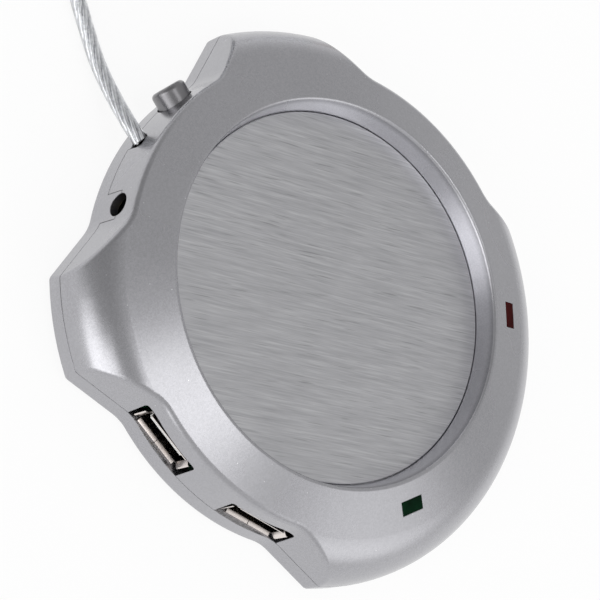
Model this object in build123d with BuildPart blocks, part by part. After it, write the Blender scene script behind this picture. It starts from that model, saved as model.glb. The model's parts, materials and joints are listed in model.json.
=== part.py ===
"""Electric mug warmer with a four-port hub: a silver case around a recessed heating plate.

Millimetres, +Z up. The origin is on the table under the centre of the plate. The lamps face -Y,
the button, cord and power inlet are at +Y, and two receptacles are on each side.
"""

import math
import os

from build123d import *

# ---------------------------------------------------------------- driving dimensions
# case
CASE_R = 63.7  # lobes of the case
RIM_Z = 20.0  # top of the rim around the recess
PARTING_Z = 6.0  # where the two covers meet
PARTING_GAP = 0.15  # open line between their walls
BASE_Z = 1.0  # underside of the bottom cover
WALL = 2.0
FLOOR = 1.8
DOME_TILT = 16.7  # fall of the dome from the rim outwards, degrees
SHOULDER_R = 13.1  # roll from the dome into the side wall
UNDER_R = 1.0  # rounding along the underside
EDGE_R = 1.6  # rounding of the edge between the dome and the cutout walls
CLEAR = 0.15  # gap around pieces that fit in the covers

# cutouts in the outline, each on its own axis
CUTOUT_ANGLES = (0, 91.5, 180)
CUTOUT_R = 55.0  # bowed wall at the parting line
CUTOUT_DRAFT = 0.12  # outward lean of the wall per millimetre down
CUTOUT_LINE = 49.2  # where the side stretch of the wall would cross the axis plane
CUTOUT_SPREAD = 4.3  # slant of the side stretch, degrees
CUTOUT_TURN_R = 10.0  # hollow turn between the bowed wall and the side stretch

# recess and plate
RIM_R = 43.6  # recess at the rim
PLATE_OPENING_R = 42.35  # recess at the plate
PLATE_Z = 14.5
PLATE_STEP = 1.0  # raised face above the flange
PLATE_FLANGE_T = 0.8
PLATE_FLANGE_R = 44.3
RECESS_OUT_R = 45.4  # outside of the recess wall, in the case
RIM_ROUND = 0.7
PLATE_EDGE_R = 0.3

# heater stack under the plate
HEATER_R = 34.0
HEATER_T = 0.6
PAD_T = 1.5
CLAMP_R = 30.0
CLAMP_T = 0.8
STUD_R = 2.5
STUD_RING_R = 22.0
STUD_ANGLES = (30, 150, 270)
STUD_GAP = 0.3
HEATER_TAB = (8.0, 4.5)  # width, and reach past the disc
CLAMP_HOLE_R = 7.5

# circuit board
BOARD_R = 50.8
BOARD_T = 1.6
BOARD_TOP = 6.3
BOARD_POST_RING_R = 32.0
BOARD_POST_R = 3.2
BOARD_POST_ANGLES = (45, 135, 225, 315)

# fasteners
SCREW_R = 1.25
SCREW_HEAD_R = 2.3
SCREW_HEAD_T = 1.5
SCREW_GAP = 0.05
HOLE_GAP = 0.3
CASE_SCREW_RING_R = 55.3
CASE_SCREW_ANGLES = (45, 135, 225, 315)
CASE_POST_R = 3.6
CASE_SCREW_SEAT = 3.2
CASE_SCREW_L = 9.0
CLIP_ANGLES = (45, 135, 225, 315)
CLIP_RING_R = 48.6
CLIP_BOSS_R = 3.4
CLIP_T = 0.8
CLIP_W = 8.0
CLIP_IN_R = 41.0
CLIP_OUT_R = 51.4
CLIP_SCREW_L = 4.5
PLATE_SCREW_L = 3.4
BOARD_SCREW_L = 4.0
TAP_SPARE = 0.5  # hole past the end of a screw

# feet
FOOT_ANGLES = (65, 115, 245, 295)
FOOT_RING_R = 47.0
FOOT_R = 4.6
FOOT_SEAT = 0.5

# receptacles
PORTS = {"right_back": 15, "right_front": -15, "left_back": 165, "left_front": 195}
PORT_TURN = 3.5  # each mouth is turned this much towards its cutout's axis, degrees
PORT_OPENING_W = 17.0
PORT_OPENING_H = 6.9
PORT_OPENING_ROUND = 0.8
PORT_MOUTH_R = 54.0  # distance of the mouth from the centre
SHELL_W = 13.1
SHELL_H = 5.7
SHELL_T = 0.35
SHELL_L = 14.0
LIP_FLARE = 0.95
LIP_DEPTH = 0.9
LIP_RISE = 0.25
LIP_LONG_W = 11.7
LIP_SIDE_H = 4.6
SEAM_W = 0.16
TONGUE_W = 11.1
TONGUE_T = 1.84
TONGUE_L = 9.6
TONGUE_DROP = 0.55  # gap between the tongue and the roof of its shell
TONGUE_BASE_L = 3.2
CONTACT_XS = (-3.5, -1.0, 1.0, 3.5)
CONTACT_W = 1.0
CONTACT_T = 0.25
PIN_DROP = 2.6  # how far pins reach below the top of the board
PIN_HOLE_GAP = 0.2
SHELL_TAB_W = 2.2
SHELL_TAB_DEPTH = 9.0

# lamps
LAMP_ANGLES = {"green": 235.8, "red": 305.2}
LAMP_R = 49.6
LAMP_L = 6.0
LAMP_W = 3.0
LAMP_BASE_Z = 13.2
LAMP_GAP = 0.08
LED_R = 1.5
LED_FLANGE_R = 1.9
LED_BASE_Z = 8.4
LED_GAP = 0.2
LED_LEG = 0.5
PIN_R = 0.5  # round pins and lead ends
LED_LEG_X = 1.27

# button and switch
BUTTON_FACING = 71.0  # direction it faces, degrees
BUTTON_SIDE = 6.2  # its axis passes the centre of the case by this much
BUTTON_Z = 8.4
BUTTON_R = 4.0
BUTTON_GAP = 0.35
BUTTON_END = 57.8  # outer face, along its axis
BUTTON_ROUND = 1.1
BUTTON_TRAVEL = 2.4
WING_OUT = 50.8
WING_T = 1.0
WING_HALF_W = 5.2
WING_H = 5.0
STEM_R = 1.5
STEM_ENTRY = 1.6  # stem inside the switch at rest
STEM_GAP = 0.3
SWITCH_W = 8.0
SWITCH_L = 7.6
SWITCH_TOP = 12.2
SWITCH_PIN_X = 2.5
SWITCH_GAP = 0.5  # between the pressed button and the switch
NOTCH_GAP = 1.0  # board around the button

# power inlet
JACK_ANGLE = 110.2
JACK_Z = 11.0
JACK_W = 8.0
JACK_L = 5.8
JACK_FACE_R = 51.5
JACK_BORE_R = 2.7
JACK_BORE_L = 5.2
JACK_PIN_R = 0.8
JACK_PIN_SET = 0.6  # tip behind the face
JACK_TOP_WALL = 0.8
JACK_TAB_W = 6.7

# cord and its exit
CORD_R = 1.75
CORD_X = -2.0
CORD_Z = 8.6
CORD_INNER_Y = 44.0
CORD_HOLE_GAP = 0.35
STRAP_Y = 46.5
STRAP_L = 3.4
STRAP_T = 1.0
STRAP_EAR_X = -7.6  # screw, beside the cord
STRAP_EAR_T = 1.2
LEAD_R = 0.45
LEAD_OFFSET = 0.6
LEAD_DROPS = ((-1, 41.6), (1, 40.2))  # lower and upper pair, and the y where they go down
# route along the table; the last run ends inside the coil
CORD_ROUTE = (
    (-2.0, 54.2, 8.6),
    (-0.3, 58.2, 7.8),
    (4.4, 63.9, 4.4),
    (9.1, 70.4, 1.95),
    (13.7, 76.6, 1.75),
    (19.0, 83.8, 1.75),
    (25.2, 91.9, 1.75),
    (31.8, 99.7, 1.75),
    (38.6, 106.7, 1.75),
)
COIL_ENTRY_R = 22.0  # the last run passes the middle of the coil by this much
COIL_R = 21.0  # middle of its turns
COIL_W = 10.5
COIL_H = 9.6
TIE_T = 0.6
TIE_W = 4.0
TIE_ANGLE = 60.0
TAIL_ANGLE = 12.0  # where the tail leaves the coil, degrees about its centre
# the tail from the coil to the plug: along it, aside from the coil and up
TAIL_ROUTE = (
    (0.0, 0.0, 7.7),
    (7.5, 0.2, 7.75),
    (15.5, 0.7, 7.3),
    (22.5, 1.4, 5.2),
    (29.0, 2.2, 4.1),
    (35.5, 3.0, 4.1),
)

# pieces on the board
FUSE_SPOT = (0.0, 13.0)
FUSE_L = 7.0
FUSE_W = 4.0
FUSE_T = 1.8
CHIP_SIZE = 9.0
CHIP_T = 1.4
CHIP_LEGS = 8
CHIP_PITCH = 1.0
CHIP_LEG_W = 0.4
CHIP_LEG_L = 1.2
CHIP_LEG_T = 0.3
CRYSTAL_SPOT = (14.0, -38.0)
CRYSTAL_L = 11.0
CRYSTAL_W = 4.6
CRYSTAL_H = 3.4
CAPACITOR_SPOTS = ((-7.0, -45.0), (0.0, -46.0), (7.0, -45.0))
CAPACITOR_R = 2.5
CAPACITOR_H = 6.0
RESISTOR_ROW = (0.0, -29.0)
RESISTORS = 5
RESISTOR_L = 3.2
RESISTOR_T = 0.6

# plug
GRIP_W = 15.6
GRIP_H = 8.2
GRIP_L = 24.0
GRIP_NECK_R = 2.6
PLUG_SHELL_W = 12.0
PLUG_SHELL_H = 4.5
PLUG_SHELL_L = 14.0
PLUG_SHELL_T = 0.3
PLUG_INSERT_H = 1.9
PLUG_CONTACT_L = 9.0
PLUG_WINDOW = (2.5, 2.0)  # across and along
PLUG_WINDOW_X = 2.9
PLUG_WINDOW_SET = 5.0  # behind the tip
GRIP_SHOULDER = 6.0  # bare neck behind the grip
GRIP_ROUND = 1.8

# ---------------------------------------------------------------- worked out once
FLOOR_Z = BASE_Z + FLOOR
BOARD_Z = BOARD_TOP - BOARD_T
FLANGE_TOP = PLATE_Z - PLATE_STEP
FLANGE_Z = FLANGE_TOP - PLATE_FLANGE_T
HEATER_Z = FLANGE_Z - HEATER_T
PAD_Z = HEATER_Z - PAD_T
CLAMP_Z = PAD_Z - CLAMP_T
CLIP_Z = FLANGE_Z - CLIP_T
TILT = math.radians(DOME_TILT)
SPREAD = math.radians(CUTOUT_SPREAD)
SHOULDER_Z = (
    RIM_Z
    - math.tan(TILT) * (CASE_R - SHOULDER_R + SHOULDER_R * math.sin(TILT) - RIM_R)
    - SHOULDER_R * math.cos(TILT)
)
SWITCH_FACE = WING_OUT - WING_T - BUTTON_TRAVEL - SWITCH_GAP
FOOT_T = BASE_Z + FOOT_SEAT

os.makedirs("parts", exist_ok=True)


def save(part, name):
    """Label a finished piece and write it under its own name."""
    part.label = name
    export_step(part, f"parts/{name}.step")


def polar(radius, angle, z=0.0):
    """Point at a radius and an angle in degrees about the centre of the case."""
    return (radius * math.cos(math.radians(angle)), radius * math.sin(math.radians(angle)), z)


def outward_plane(angle, distance, z, side=0.0):
    """Plane that faces outwards: x runs anticlockwise round the case and y runs up."""
    normal = Vector(*polar(1, angle))
    along = Vector(*polar(1, angle + 90))
    return Plane(origin=normal * distance + along * side + Vector(0, 0, z), x_dir=along, z_dir=normal)


def dome_z(radius, inset=0.0):
    """Height of the straight part of the dome at a radius."""
    return RIM_Z - math.tan(TILT) * (radius - RIM_R) - inset / math.cos(TILT)


# ---------------------------------------------------------------- case outline
def cutout_face(z, inset, angle):
    """Area taken out of the round case at one cutout, at height z, drawn in by inset."""
    shift = CUTOUT_DRAFT * (PARTING_Z - z) - inset
    radius = CUTOUT_R + shift
    line = CUTOUT_LINE + shift
    # the slanted side stretch meets the bowed wall where a x cos(t - spread) = line x cos(spread)
    meet = math.acos(line * math.cos(SPREAD) / radius) - SPREAD
    reach = 2 * CASE_R
    side = reach / 2
    with BuildSketch(Plane.XY.offset(z)) as face:
        with BuildLine(Rotation(0, 0, angle)):
            bow = CenterArc((0, 0), radius, -math.degrees(meet), 2 * math.degrees(meet))
            Polyline(
                bow @ 1,
                (line + math.tan(SPREAD) * side, side),
                (reach, side),
                (reach, -side),
                (line + math.tan(SPREAD) * side, -side),
                bow @ 0,
            )
        make_face()
        near = face.vertices().sort_by(Axis((0, 0, 0), polar(1, angle)))[:2]
        fillet(near, CUTOUT_TURN_R + inset)
    return face.sketch


def case_body(inset, low, high):
    """Solid inside of the whole case outline, drawn in by inset, between two heights."""
    shoulder = SHOULDER_R - inset
    turn = CASE_R - SHOULDER_R
    with BuildPart() as body:
        with BuildSketch(Plane.XZ):
            with BuildLine():
                slope_end = (turn + shoulder * math.sin(TILT), SHOULDER_Z + shoulder * math.cos(TILT))
                roll_end = (turn + shoulder, SHOULDER_Z)
                RadiusArc(slope_end, roll_end, shoulder)
                Polyline(roll_end, (turn + shoulder, low), (0, low), (0, high))
                Polyline((0, high), (RIM_R, min(high, dome_z(RIM_R, inset))), slope_end)
            make_face()
        revolve(axis=Axis.Z)
        for angle in CUTOUT_ANGLES:
            loft(
                [cutout_face(low - 1, inset, angle).face(), cutout_face(RIM_Z + 1, inset, angle).face()],
                ruled=True,
                mode=Mode.SUBTRACT,
            )
    return body.part


def outline_edges(body, low):
    """Edges between the dome and the cutout walls, with the corners of the lobes."""
    chosen = []
    for edge in body.edges():
        box = edge.bounding_box()
        curved = edge.geom_type not in (GeomType.CIRCLE, GeomType.LINE)
        upright = box.size.Z > SHOULDER_R and math.hypot(box.size.X, box.size.Y) < WALL + 1
        if curved and not upright and box.max.Z > low + 0.01:
            chosen.append(edge)
    return chosen


def case_outline():
    """The whole case as one solid, with its edges rounded."""
    with BuildPart() as whole:
        add(case_body(0, BASE_Z, RIM_Z))
        fillet(outline_edges(whole.part, BASE_Z), EDGE_R)
        under = [edge for edge in whole.edges() if edge.bounding_box().max.Z < BASE_Z + 0.01]
        fillet(under, UNDER_R)
    return whole.part


OUTLINE = case_outline()
HOLLOW = case_body(WALL, FLOOR_Z, dome_z(RIM_R, WALL))
BOSS_ROOF = case_body(WALL / 2, BASE_Z, dome_z(RIM_R, WALL / 2))


# ---------------------------------------------------------------- shapes used more than once
def pillars(ring, angles, radius, low, high):
    """Round pillars or holes on a circle, between two heights."""
    with BuildPart() as group:
        with BuildSketch(Plane.XY.offset(low)):
            with Locations(*[polar(ring, angle) for angle in angles]):
                Circle(radius)
        extrude(amount=high - low)
    return group.part


def ring_of(shape, radius, angles, z):
    """Copies of a shape standing on a circle, each turned to face outwards."""
    with BuildPart() as group:
        with Locations(*[Location(polar(radius, angle, z), (0, 0, angle)) for angle in angles]):
            add(shape)
    return group.part


def screw(length):
    """Cross-head screw that points up, with its head under the origin."""
    with BuildPart() as body:
        with BuildSketch():
            Circle(SCREW_R)
        extrude(amount=length)
        with BuildSketch():
            Circle(SCREW_HEAD_R)
        extrude(amount=-SCREW_HEAD_T)
        rim = body.edges().filter_by(GeomType.CIRCLE).sort_by(Axis.Z)[0]
        fillet(rim, SCREW_HEAD_T / 3)
        with BuildSketch(Plane.XY.offset(-SCREW_HEAD_T)):
            Rectangle(SCREW_HEAD_R * 1.2, SCREW_HEAD_R * 0.28)
            Rectangle(SCREW_HEAD_R * 0.28, SCREW_HEAD_R * 1.2)
        extrude(amount=SCREW_HEAD_T / 2, mode=Mode.SUBTRACT)
    return body.part


def bore(angle, side, z, radius):
    """Round cutter that points outwards through the case wall."""
    inner = BOARD_R - 4
    with BuildPart() as cutter:
        with BuildSketch(outward_plane(angle, inner, z, side)):
            Circle(radius)
        extrude(amount=CASE_R - inner)
    return cutter.part


def wall_tab(angle, z_top, width, side=0.0):
    """Tongue of the case wall that stands on the bottom cover, up to z_top."""
    height = z_top - PARTING_Z
    with BuildPart() as tab:
        with BuildSketch(outward_plane(angle, BOARD_R, PARTING_Z + height / 2, side)):
            Rectangle(width, height)
        extrude(amount=CASE_R - BOARD_R)
        add(OUTLINE, mode=Mode.INTERSECT)
        add(HOLLOW, mode=Mode.SUBTRACT)
    return tab.part


def block(plane, width, low, high, back, front):
    """Block in a plane that faces outwards: y runs up, back and front along its normal."""
    with BuildPart() as body:
        with BuildSketch(plane.offset(back)):
            with Locations((0, (low + high) / 2)):
                Rectangle(width, high - low)
        extrude(amount=front - back)
    return body.part


# ---------------------------------------------------------------- receptacles
def port_plane(name):
    """Plane of a receptacle's mouth, at the middle of its shell."""
    angle = PORTS[name]
    cutout_axis = 180 if abs(angle - 180) < 90 else 0
    facing = angle - math.copysign(PORT_TURN, angle - cutout_axis)
    return Plane(
        origin=polar(PORT_MOUTH_R, angle, BOARD_TOP + SHELL_H / 2),
        x_dir=polar(1, facing + 90),
        z_dir=polar(1, facing),
    )


def port_opening(name):
    """Opening in the case wall around a receptacle, rounded at its top corners."""
    plane = port_plane(name)
    back = PORT_MOUTH_R - BOARD_R
    with BuildPart() as cutter:
        with BuildSketch(plane.offset(-back)) as mouth:
            with Locations((0, PARTING_Z - plane.origin.Z + PORT_OPENING_H / 2)):
                Rectangle(PORT_OPENING_W, PORT_OPENING_H)
            fillet(mouth.vertices().group_by(Axis.Y)[-1], PORT_OPENING_ROUND)
        extrude(amount=back + CASE_R - PORT_MOUTH_R)
    return cutter.part


def lip(plane, half, rise, width):
    """One flared lip on the plane's lower side; half is the shell's half size there."""
    outer = -half
    inner = -half + SHELL_T
    with BuildPart() as flap:
        with BuildSketch(Plane(origin=plane.origin, x_dir=plane.z_dir, z_dir=-plane.x_dir)):
            with BuildLine():
                Polyline(
                    (-LIP_DEPTH - SHELL_T, outer),
                    (-LIP_DEPTH, outer),
                    (0, outer - rise),
                    (0, inner - rise),
                    (-LIP_DEPTH, inner),
                    (-LIP_DEPTH - SHELL_T, inner),
                    close=True,
                )
            make_face()
        extrude(amount=width / 2, both=True)
    return flap.part


def usb_shell(name):
    """Metal shell of a receptacle, with a seam underneath and two tabs into the board."""
    plane = port_plane(name)
    inner_w = SHELL_W - 2 * SHELL_T
    inner_h = SHELL_H / 2 - SHELL_T
    with BuildPart() as shell:
        add(block(plane, SHELL_W, -SHELL_H / 2, SHELL_H / 2, -SHELL_L, -LIP_DEPTH))
        add(block(plane, inner_w, -inner_h, inner_h, -SHELL_L - 1, 1), mode=Mode.SUBTRACT)
        for sign in (-1, 1):
            long_plane = Plane(origin=plane.origin, x_dir=plane.x_dir * sign, z_dir=plane.z_dir)
            side_plane = Plane(origin=plane.origin, x_dir=plane.y_dir * sign, z_dir=plane.z_dir)
            add(lip(long_plane, SHELL_H / 2, LIP_RISE, LIP_LONG_W))
            add(lip(side_plane, SHELL_W / 2, LIP_FLARE, LIP_SIDE_H))
        add(block(plane, SEAM_W, -SHELL_H, -inner_h + SHELL_T, -SHELL_L - 1, 1), mode=Mode.SUBTRACT)
        tab_low = -SHELL_H / 2 - PIN_DROP
        with BuildSketch(plane.offset(-SHELL_TAB_DEPTH - SHELL_TAB_W / 2)):
            for x in (-1, 1):
                with Locations((x * (SHELL_W - SHELL_T) / 2, (tab_low - inner_h + SHELL_T) / 2)):
                    Rectangle(SHELL_T, SHELL_T - inner_h - tab_low)
        extrude(amount=SHELL_TAB_W)
    save(shell.part, f"usb_shell_{name}")


TONGUE_TOP = SHELL_H / 2 - SHELL_T - TONGUE_DROP
TONGUE_UNDER = TONGUE_TOP - TONGUE_T
PIN_DEPTH = SHELL_L + 2 * CONTACT_T


def usb_contacts(name):
    """Four spring strips under the tongue, each with a pin through the board."""
    plane = port_plane(name).offset(-PIN_DEPTH)
    pin_low = -SHELL_H / 2 - PIN_DROP
    with BuildPart() as contacts:
        with BuildSketch(plane):
            with Locations(*[(x, TONGUE_UNDER - CONTACT_T / 2) for x in CONTACT_XS]):
                Rectangle(CONTACT_W, CONTACT_T)
        extrude(amount=TONGUE_BASE_L + TONGUE_L)
        with BuildSketch(plane):
            with Locations(*[(x, (TONGUE_UNDER + pin_low) / 2) for x in CONTACT_XS]):
                Rectangle(CONTACT_W, TONGUE_UNDER - pin_low)
        extrude(amount=CONTACT_T)
    save(contacts.part, f"usb_contacts_{name}")
    return contacts.part


def usb_tongue(name, contacts):
    """Plastic block at the back of a shell, with the tongue that carries the contacts."""
    plane = port_plane(name)
    inner_h = SHELL_H / 2 - SHELL_T
    base_end = -SHELL_L + TONGUE_BASE_L
    with BuildPart() as tongue:
        add(block(plane, SHELL_W - 2 * SHELL_T, -inner_h, inner_h, -SHELL_L, base_end))
        add(block(plane, TONGUE_W, TONGUE_UNDER, TONGUE_TOP, -SHELL_L, base_end + TONGUE_L))
        tip = tongue.edges().filter_by(Axis.Z).sort_by(Axis(plane.origin, plane.z_dir))[-2:]
        chamfer(tip, TONGUE_T / 4)
        add(contacts, mode=Mode.SUBTRACT)
    save(tongue.part, f"usb_tongue_{name}")


for port in PORTS:
    usb_shell(port)
    usb_tongue(port, usb_contacts(port))


# ---------------------------------------------------------------- covers
def lamp_block(angle, gap, low, high):
    """Upright block of a lamp window, its long side along the rim."""
    with BuildPart() as window:
        with BuildSketch(Plane.XY.offset(low)):
            with Locations(Location(polar(LAMP_R, angle), (0, 0, angle))):
                Rectangle(LAMP_W + 2 * gap, LAMP_L + 2 * gap)
        extrude(amount=high - low)
    return window.part


def cord_notch():
    """Arch for the cord, open downwards to the parting line."""
    radius = CORD_R + CORD_HOLE_GAP
    with BuildPart() as cutter:
        with BuildSketch(outward_plane(90, BOARD_R, CORD_Z, -CORD_X)):
            Circle(radius)
            with Locations((0, (PARTING_Z - CORD_Z) / 2)):
                Rectangle(2 * radius, CORD_Z - PARTING_Z)
        extrude(amount=CASE_R - BOARD_R)
    return cutter.part


def cover_bosses():
    """Screw bosses that hang from the roof of the top cover."""
    with BuildPart() as bosses:
        add(pillars(CASE_SCREW_RING_R, CASE_SCREW_ANGLES, CASE_POST_R, PARTING_Z, RIM_Z))
        add(pillars(CLIP_RING_R, CLIP_ANGLES, CLIP_BOSS_R, FLANGE_Z, RIM_Z))
        add(BOSS_ROOF, mode=Mode.INTERSECT)
    return bosses.part


def cover_cavity():
    """Hollow of the top cover, with the recess wall left standing in it."""
    with BuildPart() as cavity:
        add(HOLLOW)
        add(pillars(0, (0,), RECESS_OUT_R, FLANGE_TOP, RIM_Z), mode=Mode.SUBTRACT)
    return cavity.part


with BuildPart() as top_cover:
    add(OUTLINE)
    split(bisect_by=Plane.XY.offset(PARTING_Z + PARTING_GAP), keep=Keep.TOP)
    add(cover_cavity(), mode=Mode.SUBTRACT)
    add(cover_bosses())
    with BuildSketch(Plane.XZ):
        with BuildLine():
            Polyline(
                (0, PARTING_Z - 1),
                (0, RIM_Z + 1),
                (RIM_R, RIM_Z + 1),
                (RIM_R, RIM_Z),
                (PLATE_OPENING_R, PLATE_Z),
                (PLATE_OPENING_R, PARTING_Z - 1),
                close=True,
            )
        make_face()
    revolve(axis=Axis.Z, mode=Mode.SUBTRACT)
    rim = top_cover.edges().filter_by(GeomType.CIRCLE).group_by(Axis.Z)[-1]
    fillet(rim, RIM_ROUND)
    for port in PORTS:
        add(port_opening(port), mode=Mode.SUBTRACT)
    for angle in LAMP_ANGLES.values():
        add(lamp_block(angle, LAMP_GAP, LAMP_BASE_Z - 1, RIM_Z + 1), mode=Mode.SUBTRACT)
    add(bore(BUTTON_FACING, BUTTON_SIDE, BUTTON_Z, BUTTON_R + BUTTON_GAP), mode=Mode.SUBTRACT)
    add(bore(JACK_ANGLE, 0, JACK_Z, JACK_BORE_R), mode=Mode.SUBTRACT)
    add(wall_tab(JACK_ANGLE, JACK_Z + CLEAR, JACK_TAB_W + 2 * CLEAR), mode=Mode.SUBTRACT)
    add(cord_notch(), mode=Mode.SUBTRACT)
    case_tap_top = CASE_SCREW_SEAT + CASE_SCREW_L + TAP_SPARE
    tap_r = SCREW_R + SCREW_GAP
    add(pillars(CASE_SCREW_RING_R, CASE_SCREW_ANGLES, tap_r, BASE_Z, case_tap_top), mode=Mode.SUBTRACT)
    clip_tap_top = CLIP_Z + CLIP_SCREW_L + TAP_SPARE
    add(pillars(CLIP_RING_R, CLIP_ANGLES, tap_r, BASE_Z, clip_tap_top), mode=Mode.SUBTRACT)
save(top_cover.part, "top_cover")


with BuildPart() as bottom_cover:
    add(OUTLINE)
    split(bisect_by=Plane.XY.offset(PARTING_Z), keep=Keep.BOTTOM)
    add(HOLLOW, mode=Mode.SUBTRACT)
    add(pillars(BOARD_POST_RING_R, BOARD_POST_ANGLES, BOARD_POST_R, BASE_Z, BOARD_Z))
    add(pillars(CASE_SCREW_RING_R, CASE_SCREW_ANGLES, CASE_POST_R, BASE_Z, PARTING_Z))
    add(wall_tab(JACK_ANGLE, JACK_Z, JACK_TAB_W))
    cord_tab_w = 2 * (CORD_R + CORD_HOLE_GAP - CLEAR)
    add(wall_tab(90, CORD_Z - CORD_R, cord_tab_w, -CORD_X))
    add(bore(JACK_ANGLE, 0, JACK_Z, JACK_BORE_R), mode=Mode.SUBTRACT)
    add(bore(90, -CORD_X, CORD_Z, CORD_R + CORD_HOLE_GAP), mode=Mode.SUBTRACT)
    add(bore(BUTTON_FACING, BUTTON_SIDE, BUTTON_Z, BUTTON_R + BUTTON_GAP), mode=Mode.SUBTRACT)
    head_r = SCREW_HEAD_R + HOLE_GAP
    add(pillars(CASE_SCREW_RING_R, CASE_SCREW_ANGLES, head_r, 0, CASE_SCREW_SEAT), mode=Mode.SUBTRACT)
    shank_r = SCREW_R + HOLE_GAP
    add(pillars(CASE_SCREW_RING_R, CASE_SCREW_ANGLES, shank_r, 0, RIM_Z), mode=Mode.SUBTRACT)
    board_tap_low = BOARD_TOP - BOARD_SCREW_L - TAP_SPARE
    tap_r = SCREW_R + SCREW_GAP
    add(pillars(BOARD_POST_RING_R, BOARD_POST_ANGLES, tap_r, board_tap_low, RIM_Z), mode=Mode.SUBTRACT)
    add(pillars(FOOT_RING_R, FOOT_ANGLES, FOOT_R + CLEAR, 0, FOOT_T), mode=Mode.SUBTRACT)
save(bottom_cover.part, "bottom_cover")

with BuildPart() as rubber_feet:
    add(pillars(FOOT_RING_R, FOOT_ANGLES, FOOT_R, 0, FOOT_T))
    soles = rubber_feet.edges().filter_by(GeomType.CIRCLE).group_by(Axis.Z)[0]
    fillet(soles, FOOT_SEAT)
save(rubber_feet.part, "rubber_feet")

save(ring_of(screw(CASE_SCREW_L), CASE_SCREW_RING_R, CASE_SCREW_ANGLES, CASE_SCREW_SEAT), "case_screws")


# ---------------------------------------------------------------- plate and heater
def stud_ring(radius, low, high):
    return pillars(STUD_RING_R, STUD_ANGLES, radius, low, high)


with BuildPart() as heating_plate:
    with BuildSketch(Plane.XY.offset(FLANGE_Z)):
        Circle(PLATE_FLANGE_R)
    extrude(amount=PLATE_FLANGE_T)
    with BuildSketch(Plane.XY.offset(FLANGE_TOP)):
        Circle(PLATE_OPENING_R - CLEAR)
    extrude(amount=PLATE_STEP)
    fillet(heating_plate.edges().group_by(Axis.Z)[-1], PLATE_EDGE_R)
    add(stud_ring(STUD_R, PAD_Z, FLANGE_Z))
    stud_tap_top = CLAMP_Z + PLATE_SCREW_L + TAP_SPARE / 2
    add(stud_ring(SCREW_R + SCREW_GAP, PAD_Z, stud_tap_top), mode=Mode.SUBTRACT)
save(heating_plate.part, "heating_plate")

with BuildPart() as heater_element:
    with BuildSketch(Plane.XY.offset(HEATER_Z)):
        Circle(HEATER_R)
        with Locations((0, -HEATER_R)):
            Rectangle(HEATER_TAB[0], 2 * HEATER_TAB[1])
    extrude(amount=HEATER_T)
    add(stud_ring(STUD_R + STUD_GAP, HEATER_Z, FLANGE_Z), mode=Mode.SUBTRACT)
save(heater_element.part, "heater_element")

with BuildPart() as insulation_pad:
    with BuildSketch(Plane.XY.offset(PAD_Z)):
        Circle(HEATER_R)
    extrude(amount=PAD_T)
    add(stud_ring(STUD_R + STUD_GAP, PAD_Z, HEATER_Z), mode=Mode.SUBTRACT)
save(insulation_pad.part, "insulation_pad")

with BuildPart() as heater_clamp:
    with BuildSketch(Plane.XY.offset(CLAMP_Z)):
        Circle(CLAMP_R)
        Circle(CLAMP_HOLE_R, mode=Mode.SUBTRACT)
    extrude(amount=CLAMP_T)
    add(stud_ring(SCREW_R + HOLE_GAP, CLAMP_Z, PAD_Z), mode=Mode.SUBTRACT)
save(heater_clamp.part, "heater_clamp")

save(ring_of(screw(PLATE_SCREW_L), STUD_RING_R, STUD_ANGLES, CLAMP_Z), "heater_clamp_screws")

with BuildPart() as thermal_cutout:
    with BuildSketch(Plane.XY.offset(CLAMP_Z - FUSE_T)):
        with Locations(FUSE_SPOT):
            RectangleRounded(FUSE_L, FUSE_W, FUSE_T / 3)
    extrude(amount=FUSE_T)
    with BuildSketch(Plane.XY.offset(BOARD_TOP)):
        with Locations(FUSE_SPOT):
            with GridLocations(FUSE_L / 2, 1, 2, 1):
                Circle(PIN_R)
    extrude(amount=CLAMP_Z - FUSE_T - BOARD_TOP)
save(thermal_cutout.part, "thermal_cutout")

with BuildPart() as heater_leads:
    with BuildSketch(Plane.XY.offset(BOARD_TOP)):
        with Locations((0, -HEATER_R - HEATER_TAB[1] / 2)):
            with GridLocations(HEATER_TAB[0] / 2, 1, 2, 1):
                Circle(LEAD_R)
    extrude(amount=HEATER_Z - BOARD_TOP)
save(heater_leads.part, "heater_leads")

with BuildPart() as clip:
    with BuildSketch():
        with Locations(((CLIP_IN_R + CLIP_OUT_R) / 2 - CLIP_RING_R, 0)):
            RectangleRounded(CLIP_OUT_R - CLIP_IN_R, CLIP_W, CLIP_T)
        Circle(SCREW_R + HOLE_GAP, mode=Mode.SUBTRACT)
    extrude(amount=CLIP_T)
save(ring_of(clip.part, CLIP_RING_R, CLIP_ANGLES, CLIP_Z), "plate_clips")
save(ring_of(screw(CLIP_SCREW_L), CLIP_RING_R, CLIP_ANGLES, CLIP_Z), "plate_clip_screws")


# ---------------------------------------------------------------- board and what stands on it
def port_spots(name, xs, depth):
    """Points on the board under a receptacle: x across it and depth behind its mouth."""
    plane = port_plane(name).offset(-depth)
    spots = [plane.origin + plane.x_dir * x for x in xs]
    return [(spot.X, spot.Y) for spot in spots]


def button_plane(distance):
    """Plane square to the button's axis, with y up."""
    return outward_plane(BUTTON_FACING, distance, BUTTON_Z, BUTTON_SIDE)


def switch_spots():
    """Points on the board under the switch, in two rows across it."""
    spots = []
    for depth in (SWITCH_L / 4, SWITCH_L * 3 / 4):
        plane = button_plane(SWITCH_FACE - depth)
        spots += [plane.origin + plane.x_dir * x for x in (-SWITCH_PIN_X, 0, SWITCH_PIN_X)]
    return [(spot.X, spot.Y) for spot in spots]


def led_spots():
    """Points on the board under the legs of the two lamps' lights."""
    spots = []
    for angle in LAMP_ANGLES.values():
        plane = outward_plane(angle, LAMP_R, 0)
        spots += [plane.origin + plane.x_dir * x for x in (-LED_LEG_X, LED_LEG_X)]
    return [(spot.X, spot.Y) for spot in spots]


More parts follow.
